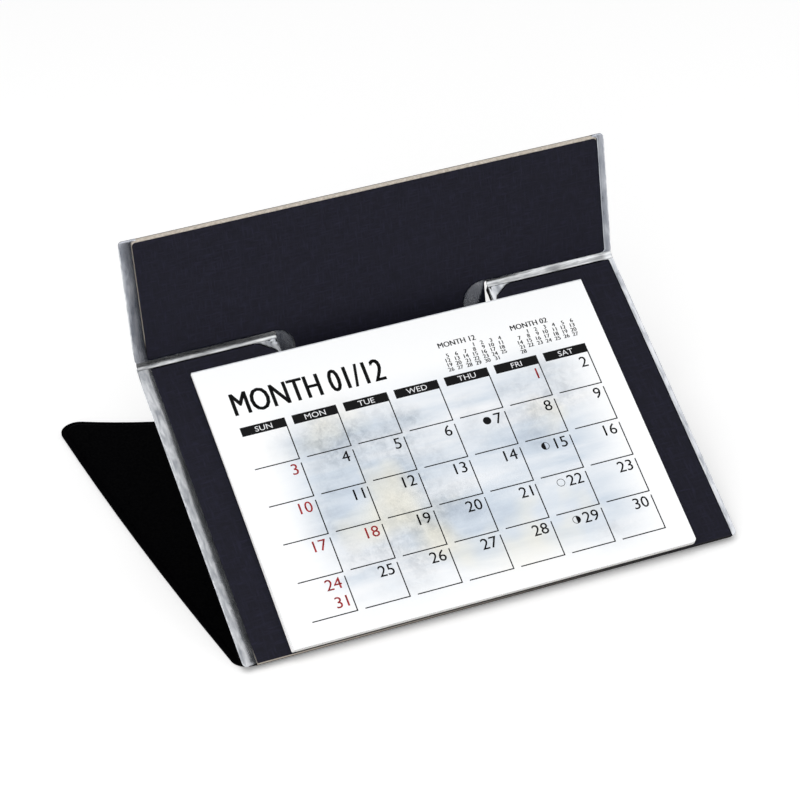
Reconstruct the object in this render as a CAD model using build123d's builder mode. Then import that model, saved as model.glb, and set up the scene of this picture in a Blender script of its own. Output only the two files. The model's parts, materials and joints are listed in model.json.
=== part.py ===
from build123d import *

import math
import os

# Driving dimensions of the folded easel, in millimetres and degrees
panel_width = 171.5
front_height = 112.0
header_height = 44.1
lean_angle = 30.0
header_fold_angle = 53.6

# Vinyl sleeves and the insert boards inside them
vinyl_thickness = 0.35
insert_board_thickness = 1.2
insert_cover_thickness = 0.2
insert_play = 0.1
insert_clearance = 0.15
front_insert_shift = 1.25
front_insert_corner_radius = 0.6
front_insert_side_margin = 3.45
front_insert_top_margin = 1.85
front_sleeve_corner_radius = 1.5
header_insert_shift = 0.8
header_insert_corner_radius = 1.2
header_insert_side_margin = 3.75
header_insert_bottom_margin = 1.4
header_insert_top_recess = 0.4
header_cover_trim = 0.8
header_sleeve_corner_radius = 1.2

# Tongue of the header panel and the opening that it leaves in the front panel
tongue_width = 75.1
tongue_shift = 0.9
tongue_foot_clearance = 0.2
tongue_corner_radius = 5.0
tongue_inner_radius = 1.0
tongue_insert_side_margin = 7.4
tongue_insert_shift = -0.35
tongue_insert_foot_margin = 2.0
tongue_insert_inner_radius = 7.0
opening_side_gap = 0.3
opening_end_gap = 0.8
opening_seam_width = 1.4
shoulder_flare = 5.8
shoulder_drop = 4.3
shoulder_radius = 3.0

# Creases that work as hinges
top_bead_radius = 0.45
top_hinge_gap = 0.6
top_bead_end_setback = 1.0
base_bead_radius = 0.35
base_hinge_gap = 0.1
base_web_width = 6.0
base_web_thickness = 0.3
front_overhang = 1.8

# Base board in its black cover
base_vinyl_thickness = 0.3
base_board_thickness = 1.0
base_front_half_width = 86.7
base_back_half_width = 100.3
base_side_bulge = 1.65
base_setback = 0.3
base_depth = 167.4
base_back_scoop = 30.0
base_front_radius = 6.0
base_back_radius = 6.0
base_seam_width = 3.0

# Calendar pad
pad_width = 139.7
pad_shift = 0.6
pad_top_margin = 7.7
pad_corner_radius = 1.5
leaf_count = 12
leaf_thickness = 0.1
leaf_bound_margin = 1.0
card_thickness = 0.3
binding_width = 0.4
tape_thickness = 0.1
tape_width = 12.0
tape_end_margin = 8.0
tape_side_margin = 8.0

# Overrun shared by the cuts
overrun = 1.0

# Sizes worked out from the driving dimensions
panel_thickness = 2 * vinyl_thickness + insert_board_thickness + insert_cover_thickness + insert_play
base_thickness = 2 * base_vinyl_thickness + base_board_thickness
lean = math.radians(lean_angle)
rise = math.radians(lean_angle + header_fold_angle)
pad_height = front_height - pad_top_margin
pad_thickness = tape_thickness + card_thickness + leaf_count * leaf_thickness

# The lower hinge axis runs along X through the base's weld bead. The front panel is laid out from it:
# up_* values run up the panel and out_* values run out of its face.
axis_z = base_thickness + base_bead_radius
out_back = base_bead_radius + base_hinge_gap
out_face = out_back + panel_thickness
up_bottom = -front_overhang
up_crease = up_bottom + front_height
up_pad_top = up_crease - pad_top_margin
up_pad_bottom = up_pad_top - pad_height
out_card = out_face + tape_thickness
out_leaves = out_card + card_thickness


def base_outline(inset):
    """Base seen from above, drawn in by an inset: straight front, bowed sides and a scooped back.

    The lower hinge axis runs at y = 0.
    """
    front_y = base_setback + inset
    back_y = base_setback + base_depth
    side_middle = (base_front_half_width + base_back_half_width) / 2 + base_side_bulge
    scoop_radius = (base_back_half_width**2 + base_back_scoop**2) / (2 * base_back_scoop)
    with BuildSketch() as outline:
        with BuildLine():
            left, right = (
                ThreePointArc(
                    (side * (base_front_half_width - inset), front_y),
                    (side * (side_middle - inset), (front_y + back_y) / 2),
                    (side * (base_back_half_width - inset), back_y + overrun),
                )
                for side in (-1, 1)
            )
            Line(left @ 0, right @ 0)
            Line(left @ 1, right @ 1)
        make_face()
        with Locations((0, back_y - base_back_scoop + scoop_radius)):
            Circle(scoop_radius + inset, mode=Mode.SUBTRACT)
        fillet(outline.vertices().group_by(Axis.Y)[0], radius=base_front_radius - inset)
        fillet(outline.vertices().group_by(Axis.Y)[-1], radius=base_back_radius - inset)
    return outline.sketch


base_rim = base_outline(0)
base_pocket = base_outline(base_seam_width)

# The origin is below the middle of the whole calendar: its front is the pad's lower edge, its back the base's
front_reach = up_bottom * math.cos(lean) - (out_face + pad_thickness) * math.sin(lean)
back_reach = base_rim.bounding_box().max.Y
hinge_y = -(front_reach + back_reach) / 2

front_plane = Plane(
    origin=(0, hinge_y, axis_z),
    x_dir=(1, 0, 0),
    z_dir=(0, -math.sin(lean), math.cos(lean)),
)
crease_y = hinge_y + up_crease * math.cos(lean) - out_face * math.sin(lean)
crease_z = axis_z + up_crease * math.sin(lean) + out_face * math.cos(lean)
header_plane = Plane(
    origin=(0, crease_y, crease_z),
    x_dir=(1, 0, 0),
    z_dir=(0, -math.sin(rise), math.cos(rise)),
)

# The tongue reaches from the upper crease down to the top of the base
tongue_drop = crease_z - base_thickness - tongue_foot_clearance - panel_thickness * math.cos(rise)
tongue_length = tongue_drop / math.sin(rise)
opening_width = tongue_width + 2 * opening_side_gap
opening_depth = tongue_length + opening_end_gap

os.makedirs("parts", exist_ok=True)


def write_piece(piece, name):
    """Label a finished piece and write it as one STEP file."""
    piece.part.label = name
    export_step(piece.part, f"parts/{name}.step")


def base_plane(height):
    return Plane(origin=(0, hinge_y, height), x_dir=(1, 0, 0), z_dir=(0, 0, 1))


# Base: a board between two black vinyl sheets that are welded together round the rim
with BuildPart() as base_cover_bottom:
    with BuildSketch(base_plane(0)):
        add(base_rim)
    extrude(amount=base_vinyl_thickness)
write_piece(base_cover_bottom, "base_cover_bottom")

with BuildPart() as base_board:
    with BuildSketch(base_plane(base_vinyl_thickness)):
        add(base_pocket)
    extrude(amount=base_board_thickness)
write_piece(base_board, "base_board")

with BuildPart() as base_cover_top:
    with BuildSketch(base_plane(base_vinyl_thickness)):
        add(base_rim)
    extrude(amount=base_thickness - base_vinyl_thickness)
    with BuildSketch(base_plane(base_vinyl_thickness)):
        add(base_pocket)
    extrude(amount=base_board_thickness, mode=Mode.SUBTRACT)
write_piece(base_cover_top, "base_cover_top")

# Lower hinge: a welded strip on the base with a bead along its front edge, on the hinge axis
with BuildPart() as base_hinge_web:
    with BuildSketch(Plane(origin=(-panel_width / 2, hinge_y, axis_z), x_dir=(0, 1, 0), z_dir=(1, 0, 0))):
        Circle(base_bead_radius)
        with Locations((0, -base_bead_radius)):
            Rectangle(base_web_width, base_web_thickness, align=(Align.MIN, Align.MIN))
    extrude(amount=panel_width)
write_piece(base_hinge_web, "base_hinge_web")


def rounded_outline(corners):
    """Closed outline through (x, y, radius) corners, each rounded to its own radius."""
    with BuildSketch() as outline:
        with BuildLine():
            Polyline(*[(x, y) for x, y, radius in corners], close=True)
        make_face()
        for x, y, radius in corners:
            if radius > 0:
                fillet(outline.vertices().sort_by_distance((x, y))[0], radius=radius)
    add(outline.sketch)


def front_sleeve_outline():
    """Front panel with the U-shaped opening that the tongue leaves."""
    height = front_height - top_hinge_gap
    with Locations((0, up_bottom)):
        panel_face = Rectangle(panel_width, height, align=(Align.CENTER, Align.MIN))
    fillet(panel_face.vertices().group_by(Axis.Y)[0], radius=front_sleeve_corner_radius)
    with Locations((tongue_shift, up_crease - opening_depth)):
        RectangleRounded(
            opening_width,
            2 * opening_depth,
            tongue_corner_radius,
            align=(Align.CENTER, Align.MIN),
            mode=Mode.SUBTRACT,
        )


def front_insert_outline(clearance):
    """Insert of the front panel: S-shaped shoulders lead into its notch."""
    half_width = panel_width / 2 - front_insert_side_margin + clearance
    top = up_crease - front_insert_top_margin + clearance
    notch_half = opening_width / 2 + opening_seam_width - clearance
    notch_bottom = up_crease - opening_depth - opening_seam_width + clearance
    left = front_insert_shift - half_width
    right = front_insert_shift + half_width
    notch_left = tongue_shift - notch_half
    notch_right = tongue_shift + notch_half
    rounded_outline(
        [
            (left, up_bottom, 0),
            (right, up_bottom, 0),
            (right, top, front_insert_corner_radius),
            (notch_right + shoulder_flare, top, shoulder_radius),
            (notch_right, top - shoulder_drop, shoulder_radius),
            (notch_right, notch_bottom, 0),
            (notch_left, notch_bottom, 0),
            (notch_left, top - shoulder_drop, shoulder_radius),
            (notch_left - shoulder_flare, top, shoulder_radius),
            (left, top, front_insert_corner_radius),
        ]
    )


# Front panel: sleeve sheets, the insert board and its cover paper
with BuildPart() as front_sleeve_back:
    with BuildSketch(front_plane.offset(out_back)):
        front_sleeve_outline()
    extrude(amount=vinyl_thickness)
write_piece(front_sleeve_back, "front_sleeve_back")

with BuildPart() as front_sleeve_face:
    with BuildSketch(front_plane.offset(out_back + vinyl_thickness)):
        front_sleeve_outline()
    extrude(amount=panel_thickness - vinyl_thickness)
    with BuildSketch(front_plane.offset(out_back + vinyl_thickness)):
        front_insert_outline(insert_clearance)
        with Locations((front_insert_shift, up_bottom)):
            Rectangle(
                panel_width - 2 * front_insert_side_margin + 2 * insert_clearance,
                2 * overrun,
            )
    extrude(amount=panel_thickness - 2 * vinyl_thickness, mode=Mode.SUBTRACT)
write_piece(front_sleeve_face, "front_sleeve_face")

with BuildPart() as front_insert_board:
    with BuildSketch(front_plane.offset(out_back + vinyl_thickness)):
        front_insert_outline(0)
    extrude(amount=insert_board_thickness)
write_piece(front_insert_board, "front_insert_board")

with BuildPart() as front_insert_cover:
    with BuildSketch(front_plane.offset(out_back + vinyl_thickness + insert_board_thickness)):
        front_insert_outline(0)
    extrude(amount=insert_cover_thickness)
write_piece(front_insert_cover, "front_insert_cover")

# Upper hinge: a welded bead on the crease either side of the tongue
bead_end_half = opening_width / 2 + top_bead_end_setback
bead_runs = {
    "left": (-panel_width / 2, tongue_shift - bead_end_half),
    "right": (tongue_shift + bead_end_half, panel_width / 2),
}
for side_name, (bead_start, bead_end) in bead_runs.items():
    with BuildPart() as top_hinge_web:
        with BuildSketch(Plane(origin=(bead_start, crease_y, crease_z), x_dir=(0, 1, 0), z_dir=(1, 0, 0))):
            Circle(top_bead_radius)
        extrude(amount=bead_end - bead_start)
    write_piece(top_hinge_web, f"top_hinge_web_{side_name}")


def tee_outline(
    middle, width, lower, upper, foot_middle, foot_width, foot, inner_radius, outer_radius, foot_radius
):
    """Header with its tongue: a T that is rounded at its corners and where the two meet."""
    left = middle - width / 2
    right = middle + width / 2
    foot_left = foot_middle - foot_width / 2
    foot_right = foot_middle + foot_width / 2
    rounded_outline(
        [
            (left, upper, outer_radius),
            (left, lower, outer_radius),
            (foot_left, lower, inner_radius),
            (foot_left, -foot, foot_radius),
            (foot_right, -foot, foot_radius),
            (foot_right, lower, inner_radius),
            (right, lower, outer_radius),
            (right, upper, outer_radius),
        ]
    )


def header_sleeve_outline():
    tee_outline(
        0,
        panel_width,
        top_hinge_gap,
        header_height,
        tongue_shift,
        tongue_width,
        tongue_length,
        tongue_inner_radius,
        header_sleeve_corner_radius,
        tongue_corner_radius,
    )


def header_insert_outline(clearance, upper):
    tee_outline(
        header_insert_shift,
        panel_width - 2 * header_insert_side_margin + 2 * clearance,
        header_insert_bottom_margin - clearance,
        upper,
        tongue_insert_shift,
        tongue_width - 2 * tongue_insert_side_margin + 2 * clearance,
        tongue_length - tongue_insert_foot_margin + clearance,
        tongue_insert_inner_radius - clearance,
        header_insert_corner_radius,
        header_insert_corner_radius,
    )


# Header panel: the sleeve is open along its top edge, where the board's edge shows
with BuildPart() as header_sleeve_back:
    with BuildSketch(header_plane.offset(-panel_thickness)):
        header_sleeve_outline()
    extrude(amount=vinyl_thickness)
write_piece(header_sleeve_back, "header_sleeve_back")

with BuildPart() as header_sleeve_face:
    with BuildSketch(header_plane.offset(vinyl_thickness - panel_thickness)):
        header_sleeve_outline()
    extrude(amount=panel_thickness - vinyl_thickness)
    with BuildSketch(header_plane.offset(vinyl_thickness - panel_thickness)):
        header_insert_outline(insert_clearance, header_height + 2 * header_insert_corner_radius)
    extrude(amount=panel_thickness - 2 * vinyl_thickness, mode=Mode.SUBTRACT)
write_piece(header_sleeve_face, "header_sleeve_face")

with BuildPart() as header_insert_board:
    with BuildSketch(header_plane.offset(vinyl_thickness - panel_thickness)):
        header_insert_outline(0, header_height - header_insert_top_recess)
    extrude(amount=insert_board_thickness)
write_piece(header_insert_board, "header_insert_board")

with BuildPart() as header_insert_cover:
    with BuildSketch(header_plane.offset(vinyl_thickness + insert_board_thickness - panel_thickness)):
        header_insert_outline(0, header_height - header_insert_top_recess - header_cover_trim)
    extrude(amount=insert_cover_thickness)
write_piece(header_insert_cover, "header_insert_cover")


def pad_sheet(level, thickness, top):
    """One sheet of the pad, with its two lower corners rounded."""
    with BuildPart() as sheet:
        with BuildSketch(front_plane.offset(level)) as sheet_outline:
            with Locations((pad_shift, up_pad_bottom)):
                Rectangle(pad_width, top - up_pad_bottom, align=(Align.CENTER, Align.MIN))
            fillet(sheet_outline.vertices().group_by(Axis.Y)[0], radius=pad_corner_radius)
        extrude(amount=thickness)
    return sheet


# Pad: tape, backing card, glued spine along the top edge, and the leaves from the top one down
with BuildPart() as pad_tape_strips:
    with BuildSketch(front_plane.offset(out_face)):
        tape_length = pad_height - 2 * tape_end_margin
        tape_x = (pad_width - tape_width) / 2 - tape_side_margin
        for side in (-1, 1):
            with Locations((pad_shift + side * tape_x, up_pad_bottom + tape_end_margin)):
                Rectangle(tape_width, tape_length, align=(Align.CENTER, Align.MIN))
    extrude(amount=tape_thickness)
write_piece(pad_tape_strips, "pad_tape_strips")

pad_backing_card = pad_sheet(out_card, card_thickness, up_pad_top - binding_width)
write_piece(pad_backing_card, "pad_backing_card")

with BuildPart() as pad_binding:
    with BuildSketch(front_plane.offset(out_card)):
        with Locations((pad_shift, up_pad_top)):
            Rectangle(pad_width, binding_width, align=(Align.CENTER, Align.MAX))
    extrude(amount=card_thickness + leaf_count * leaf_thickness)
write_piece(pad_binding, "pad_binding")

for number in range(1, leaf_count + 1):
    leaf_level = out_leaves + (leaf_count - number) * leaf_thickness
    leaf = pad_sheet(leaf_level, leaf_thickness, up_pad_top - leaf_bound_margin)
    write_piece(leaf, f"leaf_{number:02d}")

# Where the hinge axes run, for whoever sets up the motion
print(f"lower hinge axis y {hinge_y:.4f} z {axis_z:.4f}")
print(f"upper crease y {crease_y:.4f} z {crease_z:.4f}")
print(f"tongue length {tongue_length:.3f}")
for number in (1, leaf_count):
    leaf_level = out_leaves + (leaf_count - number) * leaf_thickness
    leaf_axis = front_plane.from_local_coords((0, up_pad_top, leaf_level))
    print(f"leaf {number} axis y {leaf_axis.Y:.4f} z {leaf_axis.Z:.4f}")
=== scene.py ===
import json
import math
from functools import partial

import bmesh
import bpy
import numpy as np
from mathutils import Matrix, Vector, noise


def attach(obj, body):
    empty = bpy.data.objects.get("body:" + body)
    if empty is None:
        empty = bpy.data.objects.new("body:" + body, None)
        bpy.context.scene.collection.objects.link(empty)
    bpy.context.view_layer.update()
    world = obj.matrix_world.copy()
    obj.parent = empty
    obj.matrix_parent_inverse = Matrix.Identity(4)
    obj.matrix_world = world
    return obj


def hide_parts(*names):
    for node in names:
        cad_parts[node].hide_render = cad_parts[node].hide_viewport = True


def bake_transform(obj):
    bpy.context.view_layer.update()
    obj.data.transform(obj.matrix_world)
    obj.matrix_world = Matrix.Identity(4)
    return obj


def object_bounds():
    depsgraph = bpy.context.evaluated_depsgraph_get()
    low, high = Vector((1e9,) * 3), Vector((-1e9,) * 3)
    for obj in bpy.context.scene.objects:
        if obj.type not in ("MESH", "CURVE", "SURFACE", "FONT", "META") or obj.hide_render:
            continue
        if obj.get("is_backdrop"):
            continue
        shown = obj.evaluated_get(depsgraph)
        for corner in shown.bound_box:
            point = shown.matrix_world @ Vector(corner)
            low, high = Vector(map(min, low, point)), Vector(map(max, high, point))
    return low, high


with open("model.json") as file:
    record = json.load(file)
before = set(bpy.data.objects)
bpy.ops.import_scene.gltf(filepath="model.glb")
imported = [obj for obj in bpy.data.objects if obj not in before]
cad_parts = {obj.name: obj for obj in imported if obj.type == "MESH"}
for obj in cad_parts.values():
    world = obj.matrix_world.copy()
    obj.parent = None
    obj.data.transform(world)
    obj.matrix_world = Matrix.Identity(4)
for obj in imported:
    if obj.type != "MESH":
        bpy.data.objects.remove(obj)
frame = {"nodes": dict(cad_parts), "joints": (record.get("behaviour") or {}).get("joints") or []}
cad_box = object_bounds()

# Meshes are laid out in millimetres in the plane of the panel that carries them:
# x runs along the hinges, up runs up the panel and out runs out of its face.
MM = 0.001


def joint_named(name):
    return next(joint for joint in frame["joints"] if joint["name"] == name)


def panel_at(joint, angle):
    """A panel's own millimetres: its origin lies on a joint's axis and it leans by an angle."""
    return Matrix.Translation(joint["pos_m"]) @ Matrix.Rotation(angle, 4, "X") @ Matrix.Scale(MM, 4)


front_fold = joint_named("front_fold")
header_fold = joint_named("header_fold")
lean = math.radians(90 - front_fold["range_deg"][1])
rise = lean - math.radians(header_fold["range_deg"][0])
front_panel = panel_at(front_fold, lean)
header_panel = panel_at(header_fold, rise)
base_panel = Matrix.Scale(MM, 4)


def span(node, panel):
    """Lowest and highest corner of a CAD node in a panel's own millimetres."""
    into_panel = panel.inverted()
    corners = np.array([into_panel @ vertex.co for vertex in frame["nodes"][node].data.vertices])
    return corners.min(axis=0), corners.max(axis=0)


front_low, front_high = span("front_sleeve_face", front_panel)
front_back = span("front_sleeve_back", front_panel)[0][2]
insert_low, insert_high = span("front_insert_cover", front_panel)
header_low, header_high = span("header_sleeve_face", header_panel)
header_back = span("header_sleeve_back", header_panel)[0][2]
board_low, board_high = span("header_insert_board", header_panel)
binding_low, binding_high = span("pad_binding", front_panel)
leaf_low = span("leaf_01", front_panel)[0]
up_crease = (front_panel.inverted() @ Vector(header_fold["pos_m"])).y
face_level = front_high[2]
base_top = span("base_cover_top", base_panel)[1][2]

# Cut-outs of the panels, as the boards and sheets are cut
tongue_shift = 0.9
notch_half = 39.25
notch_foot = 50.34
opening_half = 37.85
opening_foot = 51.74
opening_radius = 5.0
opening_chamfer = 0.3
shoulder_flare = 5.8
shoulder_drop = 4.3
shoulder_radius = 3.0
corner_radius = 1.5
front_insert_radius = 0.6
header_corner_radius = 1.2
header_insert_radius = 1.2
header_insert_start = 0.6
header_insert_foot = 1.4
tongue_half = 37.55
tongue_root_radius = 1.0
tongue_insert_left = -30.5
tongue_insert_right = 29.8
tongue_insert_radius = 7.0
sleeve_foot_gap = 0.6

# Welded sheets: how far they slope from a board's edge, and how deep the weld lies under the face
drape_reach = 1.3
weld_drop = 0.75
crease_weld_drop = 0.35
rim_roll = 0.1
film_sink = 0.03
film_thickness = 0.25
backing_lift = 0.01
backing_thickness = 0.3
weld_stack = film_thickness + backing_thickness + 2 * rim_roll
weld_bead_radius = 0.2
weld_bead_sides = 8

# Print on a leaf, measured from the pad's left and upper edges
leaf_count = 12
column_count = 7
row_count = 5
column_pitch = 17.9
row_pitch = 14.2
bar_left = 8.7
bar_top = 24.0
bar_width = 15.5
bar_height = 3.4
rule_width = 0.4
rule_foot = 39.9
rule_height = 12.7
print_lift = 0.008
leaf_thickness = 0.085

slip = np.random.default_rng(7)


def colour(hex_code):
    """Turn an sRGB hex code into a linear colour."""
    channels = [int(hex_code[start:start + 2], 16) / 255 for start in (1, 3, 5)]
    return (*(c / 12.92 if c <= 0.04045 else ((c + 0.055) / 1.055) ** 2.4 for c in channels), 1.0)


# Kinds of node that the materials share
MAPPING, RAMP, RANGE = "ShaderNodeMapping", "ShaderNodeValToRGB", "ShaderNodeMapRange"
NOISE, CELLS = "ShaderNodeTexNoise", "ShaderNodeTexVoronoi"
MATH, MIX = "ShaderNodeMath", "ShaderNodeMix"


def feed(node, sources):
    """Link each source, a socket or a node with its first output, to the input it is named for."""
    for key, source in sources.items():
        output = source.outputs[0] if hasattr(source, "outputs") else source
        node.id_data.links.new(output, node.inputs[key])


def add_node(tree, kind, settings=None, links=None):
    """Add a node, set its own values, ramp stops and sockets, and feed its inputs."""
    node = tree.nodes.new(kind)
    for key, value in (settings or {}).items():
        if key == "stops":
            elements = node.color_ramp.elements
            while len(elements) < len(value):
                elements.new(1.0)
            for element, (position, hex_code) in zip(elements, value):
                element.position = position
                element.color = colour(hex_code)
        elif isinstance(key, str) and hasattr(node, key):
            setattr(node, key, value)
        else:
            node.inputs[key].default_value = value
    feed(node, links or {})
    return node


def start_material(name, panel, **sockets):
    """A material with its shader's sockets set, and coordinates in the panel's millimetres."""
    material = bpy.data.materials.new(name)
    material.use_nodes = True
    shader = material.node_tree.nodes["Principled BSDF"]
    for key, value in sockets.items():
        shader.inputs[key.replace("_", " ")].default_value = value
    add = partial(add_node, material.node_tree)
    place = add("ShaderNodeTexCoord")
    inverse = panel.inverted()
    into_panel = {"Location": inverse.to_translation(), "Rotation": inverse.to_euler()}
    into_panel["Scale"] = (1 / MM,) * 3
    millimetres = add(MAPPING, into_panel, {"Vector": place.outputs["Object"]})
    return material, add, millimetres


def finish_material(material, tint, height, depth, **sources):
    """Feed the shader its sources, and raise its surface by a pattern to a depth in millimetres."""
    bump = {"Strength": 1.0, "Distance": depth * MM}
    relief = add_node(material.node_tree, "ShaderNodeBump", bump, {"Height": height})
    feed(material.node_tree.nodes["Principled BSDF"], {"Base Color": tint, "Normal": relief, **sources})
    return material


def linen_cover_paper(name, panel):
    """Navy cover paper embossed with a linen weave, under the sleeve's film.

    The eye sees a matt dark sheet with faint crossing threads of uneven thickness. Real threads are
    0.4 mm apart; they are drawn at 0.62 mm so that they show in the render.
    """
    thread, slub, depth = 0.62, 4.5, 0.04
    stops = [(0.42, "#191922"), (0.57, "#1C1C27"), (0.74, "#212130")]
    strand = {"Scale": 1.0, "Detail": 2.0, "Roughness": 0.6}
    material, add, place = start_material(name, panel, Roughness=0.66, Specular_IOR_Level=0.1)
    threads = []
    for size in ((slub, thread, slub), (thread, slub, slub)):
        scaled = add(MAPPING, {"Scale": tuple(1 / s for s in size)}, {"Vector": place})
        threads.append(add(NOISE, strand, {"Vector": scaled}))
    weave = add(MATH, {"operation": "MAXIMUM"}, {0: threads[0], 1: threads[1]})
    tint = add(RAMP, {"stops": stops}, {"Fac": weave})
    return finish_material(material, tint, weave, depth)


def chipboard(name, panel, fades):
    """Grey-tan chipboard, sawn at its edges: matt, with short pressed fibres and a few dark specks.

    The board's edges are painted near black as painted shade where they lie in shadow, and keep the tan core
    where they catch the light; the fibres break up the painted shade's edge. Each of the fades says along
    which of the panel's axes the painted shade comes in, the place left bare and the place painted near
    black.
    """
    fibre, speck, depth, fade_jitter = 0.35, 0.9, 0.05, 0.7
    pulp_stops = [(0.3, "#A89E92"), (0.55, "#CAC1B5"), (0.8, "#E3DDD4")]
    dirt_stops = [(0.05, "#6A5C4C"), (0.2, "#FFFFFF")]
    felt = {"Scale": 1 / fibre, "Detail": 4.0, "Roughness": 0.7}
    soiled = {"data_type": "RGBA", "blend_type": "MULTIPLY", 0: 0.45}
    material, add, place = start_material(name, panel, Roughness=0.9, Specular_IOR_Level=0.12)
    layers = add(MAPPING, {"Scale": (0.25, 0.25, 1.6)}, {"Vector": place})
    fibres = add(NOISE, felt, {"Vector": layers})
    specks = add(CELLS, {"Scale": 1 / speck}, {"Vector": place})
    pulp = add(RAMP, {"stops": pulp_stops}, {"Fac": fibres})
    dirt = add(RAMP, {"stops": dirt_stops}, {"Fac": specks})
    tint = add(MIX, soiled, {6: pulp, 7: dirt})
    axes = add("ShaderNodeSeparateXYZ", links={"Vector": place})
    # Painted shade: each fade paints the board's edges near black away from where they catch the light.
    shade_fades = []
    for axis, bare, shaded_at in fades:
        jitter = {"operation": "MULTIPLY_ADD", 1: fade_jitter * (shaded_at - bare)}
        jittered_place = add(MATH, jitter, {0: fibres, 2: axes.outputs[axis]})
        fade = {"interpolation_type": "SMOOTHSTEP", "From Min": bare, "From Max": shaded_at}
        shade_fades.append(add(RANGE, fade, {"Value": jittered_place}))
    shade_share = add(MATH, {"operation": "MAXIMUM"}, {0: shade_fades[0], 1: shade_fades[-1]})
    black = {"data_type": "RGBA", 7: colour("#1B1A1C")}
    pulp_with_painted_shade = add(MIX, black, {0: shade_share, 6: tint.outputs[2]})
    return finish_material(material, pulp_with_painted_shade.outputs[2], fibres, depth)


def sleeve_film(name, panel, ripple, hex_code, deep_code):
    """Clear calendered PVC film, painted pale where it is heat sealed and where it reflects the lamps.

    The eye sees nothing of it flat over the board, dark glossy film where it slopes from the board's edge,
    and a pale weld along the rim. The attribute on the mesh says how pale and opaque the film is painted:
    partly the milky weld, partly painted reflections, highlights and glints of the lamps, and painted shade
    where it is low.
    ripple is the size of its creases in millimetres along the panel's three directions.
    """
    grit, depth, crease_share = 0.35, 0.03, 6.0
    folded = {"Scale": 1.0, "Detail": 3.0, "Distortion": 0.6}
    patchy = {"From Min": 0.3, "From Max": 0.7, "To Min": 0.72, "To Max": 1.24}
    material, add, place = start_material(name, panel, IOR=1.53, Coat_Weight=0.3, Coat_Roughness=0.08)
    haze = add("ShaderNodeAttribute", {"attribute_name": "haze"})
    stretched = add(MAPPING, {"Scale": tuple(1 / s for s in ripple)}, {"Vector": place})
    creases = add(NOISE, folded, {"Vector": stretched})
    grain = add(NOISE, {"Scale": 1 / grit, "Detail": 3.0}, {"Vector": place})
    uneven = add(RANGE, patchy, {"Value": creases})
    clamped = {"operation": "MULTIPLY", "use_clamp": True}
    cover = add(MATH, clamped, {0: haze.outputs["Fac"], 1: uneven})
    tint = add(RAMP, {"stops": [(0.3, deep_code), (0.7, hex_code)]}, {"Fac": creases})
    gloss = add(RANGE, {"To Min": 0.12, "To Max": 0.36}, {"Value": grain})
    rough = {"operation": "MULTIPLY_ADD", 1: crease_share}
    relief = add(MATH, rough, {0: creases, 2: grain})
    return finish_material(material, tint, relief, depth, Alpha=cover, Roughness=gloss)


def black_vinyl(name, panel, hex_code, deep_code):
    """Black calendered vinyl: deep black and dull, with a shallow pressed leather grain."""
    grain_size, depth = 0.9, -0.05
    pebbles = {"feature": "SMOOTH_F1", "Scale": 1 / grain_size, "Smoothness": 0.4}
    material, add, place = start_material(name, panel, Specular_IOR_Level=0.01)
    cells = add(CELLS, pebbles, {"Vector": place})
    tint = add(RAMP, {"stops": [(0.1, hex_code), (0.7, deep_code)]}, {"Fac": cells})
    gloss = add(RANGE, {"To Min": 0.55, "To Max": 0.75}, {"Value": cells})
    return finish_material(material, tint, cells, depth, Roughness=gloss)


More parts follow.
